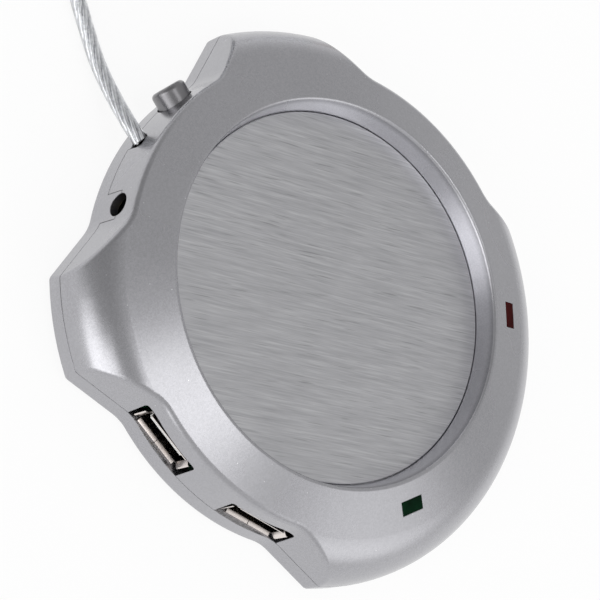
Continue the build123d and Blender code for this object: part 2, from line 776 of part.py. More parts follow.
with BuildPart() as circuit_board:
    with BuildSketch(Plane.XY.offset(BOARD_Z)):
        Circle(BOARD_R)
        for port in PORTS:
            with Locations(*port_spots(port, CONTACT_XS, PIN_DEPTH - CONTACT_T / 2)):
                Circle(CONTACT_W / 2 + PIN_HOLE_GAP, mode=Mode.SUBTRACT)
            tab_x = (SHELL_W - SHELL_T) / 2
            with Locations(*port_spots(port, (-tab_x, tab_x), SHELL_TAB_DEPTH)):
                Circle(SHELL_TAB_W / 2 + PIN_HOLE_GAP, mode=Mode.SUBTRACT)
        with Locations(*switch_spots(), *led_spots()):
            Circle(PIN_R + PIN_HOLE_GAP, mode=Mode.SUBTRACT)
        with Locations((STRAP_EAR_X, STRAP_Y)):
            Circle(SCREW_R + SCREW_GAP, mode=Mode.SUBTRACT)
    extrude(amount=BOARD_T)
    notch_w = 2 * (WING_HALF_W + NOTCH_GAP)
    add(
        block(button_plane(SWITCH_FACE), notch_w, -BUTTON_Z, 0, SWITCH_GAP / 5, CASE_R - SWITCH_FACE),
        mode=Mode.SUBTRACT,
    )
    add(
        pillars(BOARD_POST_RING_R, BOARD_POST_ANGLES, SCREW_R + HOLE_GAP, BOARD_Z, BOARD_TOP),
        mode=Mode.SUBTRACT,
    )
save(circuit_board.part, "circuit_board")

with BuildPart() as board_screw:
    with Locations(Rotation(180, 0, 0)):
        add(screw(BOARD_SCREW_L))
save(ring_of(board_screw.part, BOARD_POST_RING_R, BOARD_POST_ANGLES, BOARD_TOP), "board_screws")

with BuildPart() as hub_chip:
    with BuildSketch(Plane.XY.offset(BOARD_TOP + CHIP_LEG_T)):
        Rectangle(CHIP_SIZE, CHIP_SIZE)
    extrude(amount=CHIP_T)
    chamfer(hub_chip.edges().filter_by(Axis.Z), CHIP_LEG_T)
    with BuildSketch(Plane.XY.offset(BOARD_TOP)):
        with GridLocations(CHIP_PITCH, CHIP_SIZE, CHIP_LEGS, 2):
            Rectangle(CHIP_LEG_W, CHIP_LEG_L)
        with GridLocations(CHIP_SIZE, CHIP_PITCH, 2, CHIP_LEGS):
            Rectangle(CHIP_LEG_L, CHIP_LEG_W)
    extrude(amount=2 * CHIP_LEG_T)
save(hub_chip.part, "hub_chip")

with BuildPart() as crystal:
    with BuildSketch(Plane.XY.offset(BOARD_TOP)):
        with Locations(CRYSTAL_SPOT):
            SlotOverall(CRYSTAL_L, CRYSTAL_W)
    extrude(amount=CRYSTAL_H)
save(crystal.part, "crystal")

with BuildPart() as capacitors:
    with BuildSketch(Plane.XY.offset(BOARD_TOP)):
        with Locations(*CAPACITOR_SPOTS):
            Circle(CAPACITOR_R)
    extrude(amount=CAPACITOR_H)
    crowns = capacitors.edges().filter_by(GeomType.CIRCLE).group_by(Axis.Z)[-1]
    fillet(crowns, CAPACITOR_R / 6)
save(capacitors.part, "capacitors")

with BuildPart() as resistors:
    with BuildSketch(Plane.XY.offset(BOARD_TOP)):
        with Locations(RESISTOR_ROW):
            with GridLocations(2 * RESISTOR_L, 1, RESISTORS, 1):
                Rectangle(RESISTOR_L, RESISTOR_L / 2)
    extrude(amount=RESISTOR_T)
save(resistors.part, "resistors")


def lamp(colour):
    """Lamp window, flush with the dome."""
    with BuildPart() as window:
        add(lamp_block(LAMP_ANGLES[colour], 0, LAMP_BASE_Z, RIM_Z + 1))
        add(OUTLINE, mode=Mode.INTERSECT)
    save(window.part, f"lamp_{colour}")


def led(colour):
    """Round light under a lamp window, on two legs through the board."""
    angle = LAMP_ANGLES[colour]
    with BuildPart() as light:
        with BuildSketch(Plane.XY.offset(LED_BASE_Z)):
            with Locations(polar(LAMP_R, angle)):
                Circle(LED_R)
        extrude(amount=LAMP_BASE_Z - LED_GAP - LED_BASE_Z)
        crown = light.edges().filter_by(GeomType.CIRCLE).group_by(Axis.Z)[-1]
        fillet(crown, LED_R * 0.9)
        with BuildSketch(Plane.XY.offset(LED_BASE_Z)):
            with Locations(polar(LAMP_R, angle)):
                Circle(LED_FLANGE_R)
        extrude(amount=LED_FLANGE_R / 2)
        with BuildSketch(Plane.XY.offset(BOARD_Z - 1)):
            with Locations(Location(polar(LAMP_R, angle), (0, 0, angle))):
                with GridLocations(1, 2 * LED_LEG_X, 1, 2):
                    Rectangle(LED_LEG, LED_LEG)
        extrude(amount=LED_BASE_Z + LED_LEG - BOARD_Z + 1)
    save(light.part, f"led_{colour}")


for colour in LAMP_ANGLES:
    lamp(colour)
    led(colour)

# ---------------------------------------------------------------- button and switch
with BuildPart() as power_button:
    with BuildSketch(button_plane(WING_OUT - WING_T)):
        Circle(BUTTON_R)
    extrude(amount=BUTTON_END - WING_OUT + WING_T)
    face_edge = power_button.edges().sort_by(Axis((0, 0, 0), polar(1, BUTTON_FACING)))[-1]
    fillet(face_edge, BUTTON_ROUND)
    with BuildSketch(button_plane(WING_OUT - WING_T)):
        Rectangle(2 * WING_HALF_W, WING_H)
    extrude(amount=WING_T)
    with BuildSketch(button_plane(SWITCH_FACE - STEM_ENTRY)):
        Circle(STEM_R)
    extrude(amount=WING_OUT - WING_T - SWITCH_FACE + STEM_ENTRY)
save(power_button.part, "power_button")

with BuildPart() as switch_body:
    add(block(button_plane(SWITCH_FACE), SWITCH_W, BOARD_TOP - BUTTON_Z, SWITCH_TOP - BUTTON_Z, -SWITCH_L, 0))
    with BuildSketch(button_plane(SWITCH_FACE)):
        Circle(STEM_R + STEM_GAP)
    extrude(amount=-(STEM_ENTRY + BUTTON_TRAVEL + SWITCH_GAP), mode=Mode.SUBTRACT)
save(switch_body.part, "switch_body")

with BuildPart() as switch_terminals:
    with BuildSketch(Plane.XY.offset(BOARD_Z - 1)):
        with Locations(*switch_spots()):
            Circle(PIN_R)
    extrude(amount=BOARD_T + 1)
save(switch_terminals.part, "switch_terminals")

# ---------------------------------------------------------------- power inlet
jack_face = outward_plane(JACK_ANGLE, JACK_FACE_R, JACK_Z)
with BuildPart() as dc_jack:
    add(block(jack_face, JACK_W, BOARD_TOP - JACK_Z, JACK_BORE_R + JACK_TOP_WALL, -JACK_L, 0))
    with BuildSketch(jack_face):
        Circle(JACK_BORE_R)
    extrude(amount=-JACK_BORE_L, mode=Mode.SUBTRACT)
save(dc_jack.part, "dc_jack")

with BuildPart() as dc_jack_pin:
    with BuildSketch(jack_face.offset(-JACK_BORE_L)):
        Circle(JACK_PIN_R)
    extrude(amount=JACK_BORE_L - JACK_PIN_SET)
    tip = dc_jack_pin.edges().sort_by(Axis((0, 0, 0), polar(1, JACK_ANGLE)))[-1]
    fillet(tip, JACK_PIN_R / 2)
save(dc_jack_pin.part, "dc_jack_pin")

# ---------------------------------------------------------------- cord inside the case
with BuildPart() as cord_strap:
    with BuildSketch(Plane.XZ.offset(-STRAP_Y - STRAP_L / 2)):
        with Locations((CORD_X, (BOARD_TOP + CORD_Z) / 2)):
            Rectangle(2 * (CORD_R + STRAP_T), CORD_Z - BOARD_TOP)
        with Locations((CORD_X, CORD_Z)):
            Circle(CORD_R + STRAP_T)
        with Locations((CORD_X, BOARD_TOP / 2)):
            Rectangle(4 * CORD_R, BOARD_TOP, mode=Mode.SUBTRACT)
        ear_end = STRAP_EAR_X - SCREW_HEAD_R
        with Locations(((ear_end + CORD_X) / 2, BOARD_TOP + STRAP_EAR_T / 2)):
            Rectangle(CORD_X - ear_end, STRAP_EAR_T)
        with Locations((CORD_X, CORD_Z)):
            Circle(CORD_R + SCREW_GAP, mode=Mode.SUBTRACT)
    extrude(amount=STRAP_L)
    with BuildSketch(Plane.XY.offset(BOARD_TOP)):
        with Locations((STRAP_EAR_X, STRAP_Y)):
            Circle(SCREW_R + HOLE_GAP / 2)
    extrude(amount=STRAP_EAR_T, mode=Mode.SUBTRACT)
save(cord_strap.part, "cord_strap")

with BuildPart() as cord_strap_screw:
    with Locations((STRAP_EAR_X, STRAP_Y, BOARD_TOP + STRAP_EAR_T)):
        add(board_screw.part)
save(cord_strap_screw.part, "cord_strap_screw")

with BuildPart() as cord_inner:
    with BuildSketch(outward_plane(90, CORD_INNER_Y, CORD_Z, -CORD_X)):
        Circle(CORD_R)
    extrude(amount=CORD_ROUTE[0][1] - CORD_INNER_Y)
save(cord_inner.part, "cord_inner")


def tube(path, radius):
    """Round bar along a line, with a flat end at each end of it."""
    with BuildPart() as bar:
        with BuildSketch(Plane(origin=path @ 0, z_dir=path % 0)):
            Circle(radius)
        sweep(path=path)
    return bar.part


with BuildPart() as cord_leads:
    for side in (-1, 1):
        for up, drop_y in LEAD_DROPS:
            x = CORD_X + side * LEAD_OFFSET
            z = CORD_Z + up * LEAD_OFFSET
            start = (x, CORD_INNER_Y, z)
            corner = (x, drop_y, z)
            foot = (x, drop_y, BOARD_TOP)
            with BuildLine(mode=Mode.PRIVATE):
                wire = FilletPolyline(start, corner, foot, radius=2 * LEAD_R)
            add(tube(wire, LEAD_R))
save(cord_leads.part, "cord_leads")


# ---------------------------------------------------------------- cord outside the case
def cord_tube(points, name):
    """Round tube along straight runs, joined by the largest arcs that the runs allow."""
    radii = []
    for before, here, after in zip(points, points[1:], points[2:]):
        first = here - before
        second = after - here
        half_turn = math.radians(first.get_angle(second)) / 2
        radii.append(0.45 * min(first.length, second.length) / math.tan(half_turn))
    with BuildLine():
        route = FilletPolyline(*points, radius=radii)
    bar = tube(route, CORD_R)
    share = bar.volume / (math.pi * CORD_R**2 * route.length)
    print(f"{name}: {route.length:.1f} long, radii {[round(radius) for radius in radii]}")
    print(f"{name}: volume is {share:.5f} of section times length")
    return bar


cord_points = [Vector(*point) for point in CORD_ROUTE]
last_run = (cord_points[-1] - cord_points[-2]).normalized()
coil_spot = cord_points[-1] + Vector(last_run.Y, -last_run.X, 0) * COIL_ENTRY_R
coil_plane = Plane(origin=(coil_spot.X, coil_spot.Y, 0))
tie_plane = Plane(
    origin=coil_plane.origin + Vector(*polar(COIL_R, TIE_ANGLE)),
    x_dir=polar(1, TIE_ANGLE),
    z_dir=polar(1, TIE_ANGLE - 90),
)

with BuildPart() as coil_tie:
    add(block(tie_plane, COIL_W + 2 * TIE_T, 0, COIL_H + TIE_T, -TIE_W / 2, TIE_W / 2))
    add(block(tie_plane, COIL_W, TIE_T, COIL_H, -TIE_W, TIE_W), mode=Mode.SUBTRACT)
save(coil_tie.part, "coil_tie")

with BuildPart() as cord_coil:
    with BuildSketch(coil_plane):
        Circle(COIL_R + COIL_W / 2)
        Circle(COIL_R - COIL_W / 2, mode=Mode.SUBTRACT)
    extrude(amount=COIL_H)
    add(coil_tie.part, mode=Mode.SUBTRACT)
save(cord_coil.part, "cord_coil")

with BuildPart() as cord:
    first_run = (cord_points[1] - cord_points[0]).normalized()
    add(cord_tube([cord_points[0] - first_run * CORD_R] + cord_points[1:], "cord"))
    split(bisect_by=Plane(origin=cord_points[0], z_dir=(0, 1, 0)), keep=Keep.TOP)
    add(cord_coil.part, mode=Mode.SUBTRACT)
save(cord.part, "cord")

tail_start = coil_plane.origin + Vector(*polar(COIL_R, TAIL_ANGLE))
tail_along = Vector(*polar(1, TAIL_ANGLE - 90))
tail_aside = Vector(*polar(1, TAIL_ANGLE))
tail_points = [
    tail_start + tail_along * along + tail_aside * aside + Vector(0, 0, z)
    for along, aside, z in TAIL_ROUTE
]
with BuildPart() as cord_tail:
    add(cord_tube(tail_points, "cord_tail"))
    add(cord_coil.part, mode=Mode.SUBTRACT)
save(cord_tail.part, "cord_tail")

# ---------------------------------------------------------------- plug
plug_dir = (tail_points[-1] - tail_points[-2]).normalized()
plug_plane = Plane(origin=tail_points[-1], x_dir=Vector(-plug_dir.Y, plug_dir.X, 0), z_dir=plug_dir)
with BuildPart() as plug_grip:
    with BuildSketch(plug_plane):
        Circle(GRIP_NECK_R)
    extrude(amount=GRIP_L)
    with BuildSketch(plug_plane.offset(GRIP_SHOULDER)):
        RectangleRounded(GRIP_W, GRIP_H, GRIP_ROUND)
    extrude(amount=GRIP_L - GRIP_SHOULDER)
    shoulder = plug_grip.faces().filter_by(Axis(plug_plane.origin, plug_dir))
    fillet(shoulder.sort_by(Axis(plug_plane.origin, plug_dir))[1].outer_wire().edges(), GRIP_ROUND * 0.8)
save(plug_grip.part, "plug_grip")

tip_plane = plug_plane.offset(GRIP_L)
plug_inner_w = PLUG_SHELL_W - 2 * PLUG_SHELL_T
plug_inner_h = PLUG_SHELL_H / 2 - PLUG_SHELL_T
insert_top = PLUG_INSERT_H - plug_inner_h
with BuildPart() as plug_shell:
    add(block(tip_plane, PLUG_SHELL_W, -PLUG_SHELL_H / 2, PLUG_SHELL_H / 2, 0, PLUG_SHELL_L))
    add(block(tip_plane, plug_inner_w, -plug_inner_h, plug_inner_h, 0, PLUG_SHELL_L), mode=Mode.SUBTRACT)
    window_end = PLUG_SHELL_L - PLUG_WINDOW_SET
    for x in (-PLUG_WINDOW_X, PLUG_WINDOW_X):
        window_plane = tip_plane.shift_origin(tip_plane.origin + tip_plane.x_dir * x)
        add(
            block(window_plane, PLUG_WINDOW[0], 0, PLUG_SHELL_H, window_end - PLUG_WINDOW[1], window_end),
            mode=Mode.SUBTRACT,
        )
save(plug_shell.part, "plug_shell")

with BuildPart() as plug_insert:
    add(block(tip_plane, plug_inner_w, -plug_inner_h, insert_top, 0, PLUG_SHELL_L - PLUG_SHELL_T))
save(plug_insert.part, "plug_insert")

with BuildPart() as plug_contacts:
    with BuildSketch(tip_plane.offset(PLUG_SHELL_L - 2 * CONTACT_W - PLUG_CONTACT_L)):
        with Locations(*[(x, insert_top + CONTACT_T / 2) for x in CONTACT_XS]):
            Rectangle(CONTACT_W, CONTACT_T)
    extrude(amount=PLUG_CONTACT_L)
save(plug_contacts.part, "plug_contacts")
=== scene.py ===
"""Electric mug warmer with a four-port hub: finishes, cord, light and camera, in metres."""
import json
import math

import bmesh
import bpy
from mathutils import Matrix, Vector


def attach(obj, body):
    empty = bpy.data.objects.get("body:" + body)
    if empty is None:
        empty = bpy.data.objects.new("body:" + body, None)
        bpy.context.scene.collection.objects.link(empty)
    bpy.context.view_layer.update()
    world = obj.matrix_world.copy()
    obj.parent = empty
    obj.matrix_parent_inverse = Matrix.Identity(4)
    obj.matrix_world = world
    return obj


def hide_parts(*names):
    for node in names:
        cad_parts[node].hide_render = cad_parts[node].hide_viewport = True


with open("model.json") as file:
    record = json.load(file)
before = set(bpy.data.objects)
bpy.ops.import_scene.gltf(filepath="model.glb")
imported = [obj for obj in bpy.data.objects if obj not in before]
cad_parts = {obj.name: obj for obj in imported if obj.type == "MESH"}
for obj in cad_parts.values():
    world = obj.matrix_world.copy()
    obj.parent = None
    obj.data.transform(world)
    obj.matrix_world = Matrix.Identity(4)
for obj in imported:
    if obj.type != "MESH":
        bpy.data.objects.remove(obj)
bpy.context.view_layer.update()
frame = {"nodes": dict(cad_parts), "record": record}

MM = 0.001
scene = bpy.context.scene
scene.view_settings.view_transform = "Standard"


# ---------------------------------------------------------------- camera
def bench_camera():
    """Camera above the table, looking down at the port side."""
    data = bpy.data.cameras.new("bench_camera")
    data.sensor_width = 36.0
    data.lens = 108.0
    camera = bpy.data.objects.new("bench_camera", data)
    scene.collection.objects.link(camera)
    right = Vector((0.44489, -0.679151, 0.583804))
    up = Vector((0.732135, 0.651237, 0.199671))
    back = Vector((-0.515802, 0.338592, 0.786959))
    eye = Vector((-0.210141, 0.139415, 0.324596))
    camera.matrix_world = Matrix.Translation(eye) @ Matrix((right, up, back)).transposed().to_4x4()
    scene.camera = camera


bench_camera()


# ---------------------------------------------------------------- node helpers
def finish(name, colour, metal=0.0, rough=0.5, **sockets):
    """New material whose plain values sit on its shader."""
    mat = bpy.data.materials.new(name)
    mat.use_nodes = True
    shader = mat.node_tree.nodes["Principled BSDF"]
    shader.inputs["Base Color"].default_value = (*colour, 1)
    shader.inputs["Metallic"].default_value = metal
    shader.inputs["Roughness"].default_value = rough
    for socket, value in sockets.items():
        shader.inputs[socket.replace("_", " ")].default_value = value
    return mat


def add(mat, kind, inputs=None, **settings):
    """New node with its input values and settings."""
    node = mat.node_tree.nodes.new("ShaderNode" + kind)
    for key, value in settings.items():
        setattr(node, key, value)
    for key, value in (inputs or {}).items():
        node.inputs[key].default_value = value
    return node


def join(mat, *pairs):
    """Links each output to its input."""
    for out, into in pairs:
        mat.node_tree.links.new(out, into)


def shader_of(mat):
    return mat.node_tree.nodes["Principled BSDF"]


def place(mat, scale=(1, 1, 1), turn=0.0):
    """Object coordinates, turned about the vertical and then scaled."""
    coords = add(mat, "TexCoord")
    spin = add(mat, "Mapping", {"Rotation": (0, 0, math.radians(turn))})
    size = add(mat, "Mapping", {"Scale": scale})
    join(mat, (coords.outputs["Object"], spin.inputs["Vector"]), (spin.outputs[0], size.inputs["Vector"]))
    return size.outputs[0]


def noise(mat, where, scale, detail=3.0, rough=0.5):
    node = add(mat, "TexNoise", {"Scale": scale, "Detail": detail, "Roughness": rough})
    join(mat, (where, node.inputs["Vector"]))
    return node.outputs["Fac"]


def ramp(mat, value, stops):
    """Colours at stops along a value."""
    node = add(mat, "ValToRGB")
    join(mat, (value, node.inputs["Fac"]))
    bar = node.color_ramp.elements
    while len(bar) < len(stops):
        bar.new(0.5)
    for mark, (spot, colour) in zip(bar, stops):
        mark.position = spot
        mark.color = (*colour, 1)
    return node.outputs["Color"]


def spread(mat, value, low, high, to_low, to_high, smooth=False):
    """A value moved from one span to another."""
    node = add(mat, "MapRange", {"From Min": low, "From Max": high, "To Min": to_low, "To Max": to_high})
    if smooth:
        node.interpolation_type = "SMOOTHSTEP"
    join(mat, (value, node.inputs["Value"]))
    return node.outputs["Result"]


def bump(mat, height, distance, strength=1.0, normal=None):
    node = add(mat, "Bump", {"Strength": strength, "Distance": distance})
    join(mat, (height, node.inputs["Height"]))
    if normal is not None:
        join(mat, (normal, node.inputs["Normal"]))
    return node.outputs["Normal"]


def math_of(mat, kind, first, second):
    """A sum, product or other result of a value with a value or a number."""
    node = add(mat, "Math", operation=kind)
    join(mat, (first, node.inputs[0]))
    if isinstance(second, (int, float)):
        node.inputs[1].default_value = second
    else:
        join(mat, (second, node.inputs[1]))
    return node.outputs[0]


def tint(mat, low, high, value):
    """Base colour between two shades of the same finish."""
    colour = ramp(mat, value, [(0.0, low), (1.0, high)])
    join(mat, (colour, shader_of(mat).inputs["Base Color"]))


def moulded(name, colour, rough=0.45, grain=0.03, scale=900, shade=0.85, **sockets):
    """Moulded plastic or rubber: a fine grain, faint flow marks and uneven gloss."""
    mat = finish(name, colour, rough=rough, **sockets)
    here = place(mat)
    fine = noise(mat, here, scale, 2.0)
    flow = noise(mat, here, 60, 3.0)
    tint(mat, [c * shade for c in colour], [min(1.0, c / shade) for c in colour], flow)
    shader = shader_of(mat)
    join(mat, (spread(mat, flow, 0.3, 0.7, rough - 0.06, rough + 0.06), shader.inputs["Roughness"]))
    join(mat, (bump(mat, fine, grain * MM), shader.inputs["Normal"]))
    return mat


def sheet_metal(name, colour, rough=0.28, grain=(40, 900, 900), turn=0.0, shade=0.8, **sockets):
    """Plated or drawn metal: fine lines one way, with dull patches."""
    mat = finish(name, colour, metal=1.0, rough=rough, **sockets)
    lines = noise(mat, place(mat, grain, turn), 1.0, 3.0)
    patches = noise(mat, place(mat), 90, 3.0)
    tint(mat, [c * shade for c in colour], [min(1.0, c / shade) for c in colour], patches)
    shader = shader_of(mat)
    join(mat, (spread(mat, lines, 0.3, 0.7, rough - 0.08, rough + 0.1), shader.inputs["Roughness"]))
    join(mat, (bump(mat, lines, 0.01 * MM, 0.6), shader.inputs["Normal"]))
    return mat


# ---------------------------------------------------------------- finishes
# the way the mouths of the receptacles face, with both signs taken off, and how far out they reach that way
MOUTH_WAY = (0.9799, 0.1994, 0)
MOUTH_REACH = 53.9 * MM
MOUTH_LIP = 0.3 * MM
MOUTH_DEPTH = 1.3 * MM
# share of the colour left deep inside a receptacle, as painted shade
MOUTH_SHADE_SHARE = 0.06


def receptacle_sheet():
    """Plated sheet whose colour is darkened with painted shade, from the lips of a receptacle inwards."""
    mat = sheet_metal("receptacle_steel", (0.72, 0.67, 0.64), 0.24)
    shader = shader_of(mat)
    one_side = add(mat, "VectorMath", operation="ABSOLUTE")
    reach = add(mat, "VectorMath", operation="DOT_PRODUCT")
    reach.inputs[1].default_value = MOUTH_WAY
    join(mat, (place(mat), one_side.inputs[0]), (one_side.outputs[0], reach.inputs[0]))
    # painted shade: the colour darkens from the lips inwards, standing in for the shade deep in the
    # receptacle
    depth = spread(mat, reach.outputs["Value"], MOUTH_REACH - MOUTH_DEPTH, MOUTH_REACH - MOUTH_LIP,
                   MOUTH_SHADE_SHARE, 1.0, smooth=True)
    shaded_sheet = add(mat, "Mix", data_type="RGBA", blend_type="MULTIPLY")
    shaded_sheet.inputs["Factor"].default_value = 1.0
    bright = shader.inputs["Base Color"].links[0].from_socket
    join(mat, (bright, shaded_sheet.inputs["A"]), (depth, shaded_sheet.inputs["B"]),
         (shaded_sheet.outputs["Result"], shader.inputs["Base Color"]))
    return mat


RECESS_R = 43.4 * MM
RECESS_BLEND = (0.3 * MM, 0.1 * MM)  # inside and outside that radius
RECESS_PAINTED_LIGHT = 1.8  # painted light: colour of the paint on the wall of the recess against the rest, raised to stand in for light there, a match of looks alone


PAINT_EDGE = 0.25 * MM
FLAKE_SCALE = 3600.0
STRAY_SCALE = 1100.0
STRAY_PICK = 0.965  # flakes above it shine
STRAY_SIZE = 0.12


def silver_paint():
    """Fine metallic paint over moulded plastic: grey flakes, stray bright ones, a thin clear coat.

    The colour is lifted by place on the wall of the recess, as painted light.
    """
    mat = finish("case_paint", (0.40, 0.40, 0.42), metal=1.0, rough=0.27,
                 Coat_Weight=0.2, Coat_Roughness=0.16, Coat_IOR=1.5)
    shader = shader_of(mat)
    here = place(mat)
    flakes = add(mat, "TexVoronoi", {"Scale": FLAKE_SCALE})
    stray = add(mat, "TexVoronoi", {"Scale": STRAY_SCALE})
    join(mat, (here, flakes.inputs["Vector"]), (here, stray.inputs["Vector"]))
    split = add(mat, "SeparateColor")
    join(mat, (flakes.outputs["Color"], split.inputs["Color"]))
    pick = add(mat, "SeparateColor")
    join(mat, (stray.outputs["Color"], pick.inputs["Color"]))
    cloud = noise(mat, here, 45, 4.0)
    tone = math_of(mat, "ADD", math_of(mat, "MULTIPLY", split.outputs[0], 0.6),
                   math_of(mat, "MULTIPLY", cloud, 0.5))
    body = ramp(mat, tone, [(0.1, (0.372, 0.371, 0.39)), (0.95, (0.437, 0.435, 0.458))])
    chosen = math_of(mat, "GREATER_THAN", pick.outputs[0], STRAY_PICK)
    near = math_of(mat, "LESS_THAN", stray.outputs["Distance"], STRAY_SIZE)
    glint = math_of(mat, "MULTIPLY", chosen, near)
    mixed = add(mat, "Mix", data_type="RGBA")
    mixed.inputs["B"].default_value = (0.7, 0.7, 0.72, 1)
    across = add(mat, "VectorMath", operation="LENGTH")
    lit_walls = add(mat, "Mix", data_type="RGBA", blend_type="MULTIPLY")
    lit_walls.inputs["Factor"].default_value = 1.0
    join(mat, (place(mat, (1, 1, 0)), across.inputs[0]), (glint, mixed.inputs["Factor"]),
         (body, mixed.inputs["A"]))
    # painted light: the colour of the paint is raised on the wall of the recess
    recess_light = spread(mat, across.outputs["Value"], RECESS_R - RECESS_BLEND[0], RECESS_R + RECESS_BLEND[1],
                  RECESS_PAINTED_LIGHT, 1.0)
    join(mat, (mixed.outputs["Result"], lit_walls.inputs["A"]), (recess_light, lit_walls.inputs["B"]),
         (lit_walls.outputs["Result"], shader.inputs["Base Color"]))
    join(mat, (spread(mat, cloud, 0.3, 0.7, 0.24, 0.3), shader.inputs["Roughness"]))
    edge = add(mat, "Bevel", samples=4)
    edge.inputs["Radius"].default_value = PAINT_EDGE
    skin = bump(mat, noise(mat, here, 1500, 2.0), 0.003 * MM, 0.6, edge.outputs["Normal"])
    join(mat, (skin, shader.inputs["Normal"]), (edge.outputs["Normal"], shader.inputs["Coat Normal"]))
    return mat


BRUSH_TURN = 60  # direction of the streaks, degrees
SCRATCH_TURN = 59


def brushed_plate():
    """Aluminium brushed one way: long streaks of several widths, with a few darker scratches."""
    mat = finish("plate_metal", (0.5, 0.5, 0.52), metal=1.0, rough=0.36)
    shader = shader_of(mat)
    broad = noise(mat, place(mat, (42, 950, 1), BRUSH_TURN), 1.0, 4.0, 0.65)
    fine = noise(mat, place(mat, (110, 3200, 1), BRUSH_TURN), 1.0, 3.0, 0.6)
    marks = noise(mat, place(mat, (100, 2300, 1), SCRATCH_TURN), 1.0, 1.0, 0.5)
    cloud = noise(mat, place(mat), 18, 2.0)
    streaks = math_of(mat, "ADD", math_of(mat, "MULTIPLY", broad, 0.55), math_of(mat, "MULTIPLY", fine, 0.55))
    shade = ramp(mat, streaks, [(0.36, (0.40, 0.40, 0.418)), (0.55, (0.5, 0.5, 0.518)),
                                (0.74, (0.62, 0.62, 0.635))])
    dark = spread(mat, marks, 0.27, 0.36, 0.74, 1.0)
    mixed = add(mat, "Mix", data_type="RGBA", blend_type="MULTIPLY")
    mixed.inputs["Factor"].default_value = 1.0
    join(mat, (shade, mixed.inputs["A"]), (dark, mixed.inputs["B"]),
         (mixed.outputs["Result"], shader.inputs["Base Color"]))
    join(mat, (spread(mat, cloud, 0.3, 0.7, 0.36, 0.44), shader.inputs["Roughness"]),
         (bump(mat, streaks, 0.02 * MM, 0.5), shader.inputs["Normal"]))
    return mat


BUTTON_EDGE = 0.3 * MM


def satin_button():
    """Plated plastic button with a satin skin and edges rubbed bright."""
    mat = finish("button_paint", (0.22, 0.215, 0.225), metal=1.0, rough=0.26,
                 Coat_Weight=0.2, Coat_Roughness=0.1)
    shader = shader_of(mat)
    here = place(mat)
    cloud = noise(mat, here, 300, 3.0)
    tint(mat, (0.18, 0.177, 0.186), (0.255, 0.25, 0.26), cloud)
    edge = add(mat, "Bevel", samples=4)
    edge.inputs["Radius"].default_value = BUTTON_EDGE
    dull = spread(mat, cloud, 0.3, 0.7, 0.26, 0.34)
    skin = bump(mat, noise(mat, here, 1800, 2.0), 0.008 * MM, 0.6, edge.outputs["Normal"])
    join(mat, (dull, shader.inputs["Roughness"]), (skin, shader.inputs["Normal"]))
    return mat


def tinted_lamp(name, deep, light):
    """Dark tinted window, lighter where the lamp behind shows through it."""
    mat = finish(name, deep, rough=0.35, Specular_IOR_Level=0.02)
    cloud = noise(mat, place(mat), 260, 2.0)
    colour = ramp(mat, cloud, [(0.35, deep), (0.7, light)])
    join(mat, (colour, shader_of(mat).inputs["Base Color"]),
         (bump(mat, noise(mat, place(mat), 900, 2.0), 0.01 * MM), shader_of(mat).inputs["Normal"]))
    return mat


def green_board():
    """Solder mask over copper tracks, its colour darkened as painted shade because it lies behind the
    openings.
    """
    mat = finish("board_green", (0.01, 0.08, 0.035), rough=0.35, Coat_Weight=0.4, Coat_Roughness=0.15)
    shader = shader_of(mat)
    tracks = add(mat, "TexBrick", {"Scale": 240.0, "Mortar Size": 0.035, "Bias": 0.2,
                                   "Color1": (0.008, 0.07, 0.03, 1), "Color2": (0.01, 0.08, 0.035, 1),
                                   "Mortar": (0.02, 0.13, 0.055, 1)})
    join(mat, (place(mat), tracks.inputs["Vector"]), (tracks.outputs["Color"], shader.inputs["Base Color"]),
         (bump(mat, tracks.outputs["Fac"], 0.03 * MM), shader.inputs["Normal"]))
    return mat


def pressed_felt():
    """Matted felt pad."""
    mat = finish("pad_felt", (0.62, 0.58, 0.5), rough=0.95, Sheen_Weight=0.3)
    here = place(mat)
    fibres = noise(mat, here, 1400, 5.0, 0.7)
    tint(mat, (0.5, 0.46, 0.39), (0.7, 0.66, 0.58), fibres)
    join(mat, (bump(mat, fibres, 0.2 * MM), shader_of(mat).inputs["Normal"]))
    return mat


def amber_film():
    """Amber film with the winding of the heater showing through."""
    mat = finish("heater_film", (0.35, 0.13, 0.02), rough=0.3, Coat_Weight=0.5)
    rings = add(mat, "TexWave", {"Scale": 130.0, "Distortion": 0.0}, wave_type="RINGS", rings_direction="Z")
    join(mat, (place(mat), rings.inputs["Vector"]))
    colour = ramp(mat, rings.outputs["Fac"], [(0.45, (0.4, 0.15, 0.02)), (0.55, (0.22, 0.09, 0.03))])
    join(mat, (colour, shader_of(mat).inputs["Base Color"]),
         (bump(mat, rings.outputs["Fac"], 0.03 * MM), shader_of(mat).inputs["Normal"]))
    return mat


def clear_plastic(name, colour, rough=0.03, **sockets):
    """Clear soft plastic with a faintly uneven skin."""
    mat = finish(name, colour, rough=rough, IOR=1.45, Transmission_Weight=1.0, **sockets)
    ripple = noise(mat, place(mat), 350, 2.0)
    join(mat, (bump(mat, ripple, 0.03 * MM, 0.5), shader_of(mat).inputs["Normal"]))
    return mat


